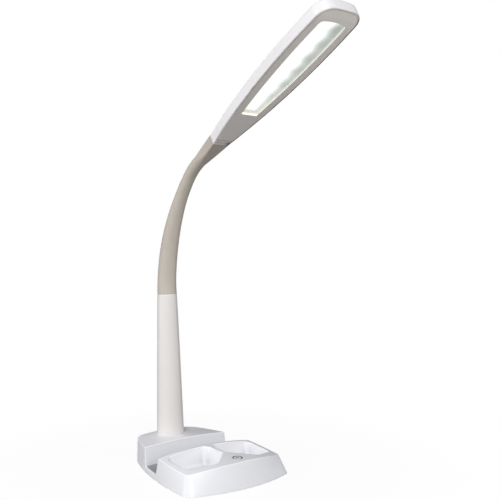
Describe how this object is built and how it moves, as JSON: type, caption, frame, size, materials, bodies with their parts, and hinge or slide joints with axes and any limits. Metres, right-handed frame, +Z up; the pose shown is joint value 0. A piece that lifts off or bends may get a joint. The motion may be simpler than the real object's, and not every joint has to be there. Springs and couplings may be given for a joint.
{
  "type": "desk lamp with organiser base",
  "caption": "White desk lamp: flat tapered light head on a flexible neck and tapered post, over a base with open storage wells, a cross slot and a touch button.",
  "frame": {"origin": "on the table, under the middle of the base, at the underside of the middle rubber foot", "axes": "+Z up, -Y towards the user and the lamp head, X across the base"},
  "size_m": [0.144, 0.3242, 0.497],
  "materials": {
    "shell_white": "satin moulded white",
    "panel_white": "fine matt white",
    "sleeve_taupe": "soft-touch matt",
    "steel": "zinc-plated",
    "link_metal": "machined",
    "rubber_dark": "moulded rubber",
    "pad_grey": "soft grey",
    "touch_dark": "printed ring",
    "touch_light": "translucent cap",
    "board_green": "solder mask",
    "board_metal": "white-coated light board",
    "jack_black": "moulded",
    "lens_white": "frosted diffuser",
    "led_yellow": "phosphor"
  },
  "bodies": {
    "base": {"base_shell": "shell_white", "bottom_plate": "shell_white", "base_screws": "steel", "rubber_feet": "rubber_dark", "ballast_plate": "steel", "slot_pad": "pad_grey", "touch_ring": "touch_dark", "touch_cap": "touch_light", "touch_board": "board_green", "driver_board": "board_green", "power_jack": "jack_black", "post": "shell_white", "post_bracket": "steel", "post_screws": "steel", "neck_socket": "link_metal", "neck_sleeve_0": "sleeve_taupe"},
    "link_1": {"neck_link_1": "link_metal", "neck_sleeve_1": "sleeve_taupe"},
    "link_2": {"neck_link_2": "link_metal", "neck_sleeve_2": "sleeve_taupe"},
    "link_3": {"neck_link_3": "link_metal", "neck_sleeve_3": "sleeve_taupe"},
    "link_4": {"neck_link_4": "link_metal", "neck_sleeve_4": "sleeve_taupe"},
    "link_5": {"neck_link_5": "link_metal", "neck_sleeve_5": "sleeve_taupe"},
    "head": {"neck_end_core": "link_metal", "neck_end_sleeve": "sleeve_taupe", "head_cover": "shell_white", "head_panel": "panel_white", "lens": "lens_white", "reflector": "panel_white", "led_board": "board_metal", "led_chips": "led_yellow", "tang_screws": "steel", "board_screws": "steel"}
  },
  "joints": [
    {"name": "neck_bend_1", "type": "hinge", "parent": "base", "child": "link_1", "pos_m": [0, 0.07796, 0.21782], "axis": [1, 0, 0], "range_deg": [-20, 20]},
    {"name": "neck_side_1", "type": "hinge", "parent": "link_1", "child": "link_2", "pos_m": [0, 0.07537, 0.24568], "axis": [0, 0.9872, 0.1597], "range_deg": [-20, 20]},
    {"name": "neck_bend_2", "type": "hinge", "parent": "link_2", "child": "link_3", "pos_m": [0, 0.06904, 0.27293], "axis": [1, 0, 0], "range_deg": [-20, 20]},
    {"name": "neck_side_2", "type": "hinge", "parent": "link_3", "child": "link_4", "pos_m": [0, 0.05908, 0.29908], "axis": [0, 0.908, 0.4189], "range_deg": [-20, 20]},
    {"name": "neck_bend_3", "type": "hinge", "parent": "link_4", "child": "link_5", "pos_m": [0, 0.04566, 0.32363], "axis": [1, 0, 0], "range_deg": [-20, 20]},
    {"name": "neck_bend_4", "type": "hinge", "parent": "link_5", "child": "head", "pos_m": [0, 0.02904, 0.34613], "axis": [1, 0, 0], "range_deg": [-20, 20]}
  ]
}
